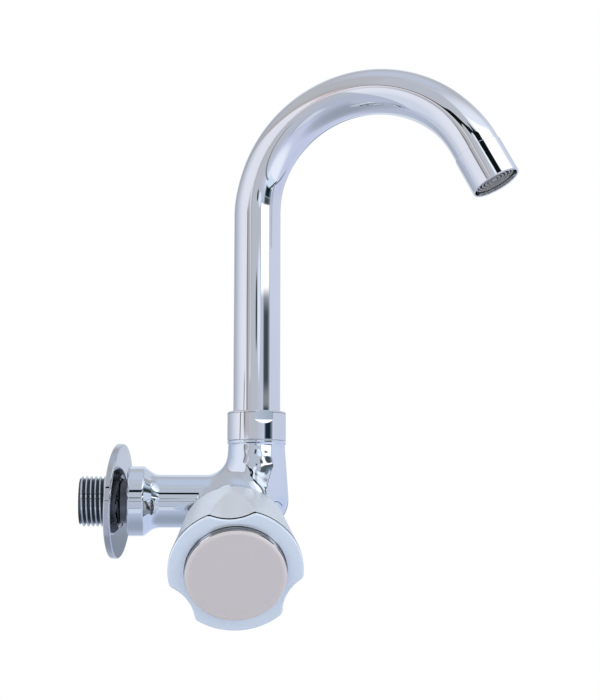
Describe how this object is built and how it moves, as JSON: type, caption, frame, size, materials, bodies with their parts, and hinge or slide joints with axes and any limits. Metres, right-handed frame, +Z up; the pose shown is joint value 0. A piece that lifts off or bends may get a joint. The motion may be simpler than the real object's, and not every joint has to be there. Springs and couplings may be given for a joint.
{
  "type": "sink tap",
  "caption": "Wall-mounted sink tap with a swivelling swan-neck spout, an aerator, a loose wall flange and a lobed knob on a rising spindle valve.",
  "frame": {"origin": "on the inlet's axis, in the plane of the wall that the flange covers", "axes": "+X out of the wall along the inlet, +Z up along the spout's upright axis, -Y towards the user"},
  "size_m": [0.1744, 0.0854, 0.2268],
  "materials": {
    "body_chrome": "bright chrome plate over brass, with the thread and bores left as cut metal",
    "spout_chrome": "bright chrome plate on drawn tube",
    "nut_chrome": "bright chrome plate",
    "aerator_chrome": "bright chrome plate",
    "flange_chrome": "bright chrome plate on pressed sheet",
    "knob_chrome": "chrome plate on a moulded knob",
    "cap_satin": "satin face with a polished edge",
    "headwork_brass": "turned brass",
    "screw_steel": "plain steel",
    "rubber_black": "matt black rubber",
    "fibre_red": "fibre washer",
    "packing_grey": "soft packing",
    "plastic_grey": "dark grey moulded plastic",
    "plastic_white": "white moulded plastic",
    "screen_steel": "fine woven wire"
  },
  "bodies": {
    "tap_body": {"body_casting": "body_chrome", "bonnet": "headwork_brass", "bonnet_washer": "fibre_red", "gland_nut": "headwork_brass", "gland_packing": "packing_grey", "spout_nut": "nut_chrome", "slip_ring": "plastic_white"},
    "spout": {"spout_tube": "spout_chrome", "spout_tail": "headwork_brass", "tail_o_rings": "rubber_black", "aerator_housing": "aerator_chrome", "aerator_washer": "rubber_black", "aerator_cage": "plastic_grey", "aerator_screens": "screen_steel", "aerator_diffuser": "plastic_white"},
    "flange": {"wall_flange": "flange_chrome"},
    "valve_disc": {"jumper": "headwork_brass", "valve_washer": "rubber_black", "washer_nut": "headwork_brass"},
    "knob": {"knob_shell": "knob_chrome", "knob_bush": "headwork_brass", "knob_screw": "screw_steel", "knob_cap": "cap_satin", "spindle": "headwork_brass"}
  },
  "joints": [
    {"name": "spout_swivel", "type": "hinge", "parent": "tap_body", "child": "spout", "pos_m": [0.057, 0, 0.05], "axis": [0, 0, 1], "continuous": true},
    {"name": "flange_slide", "type": "slide", "parent": "tap_body", "child": "flange", "axis": [1, 0, 0], "range_m": [-0.012, 0]},
    {"name": "valve_lift", "type": "slide", "parent": "tap_body", "child": "valve_disc", "axis": [0, -0.8805, -0.4741], "range_m": [0, 0.0035]},
    {"name": "knob_turn", "type": "hinge", "parent": "valve_disc", "child": "knob", "pos_m": [0.04785, 0, 0], "axis": [0, -0.8805, -0.4741], "range_deg": [0, 630]}
  ],
  "couplings": [
    {"joint": "valve_lift", "follows": "knob_turn", "m_per_rad": 0.0003183}
  ]
}
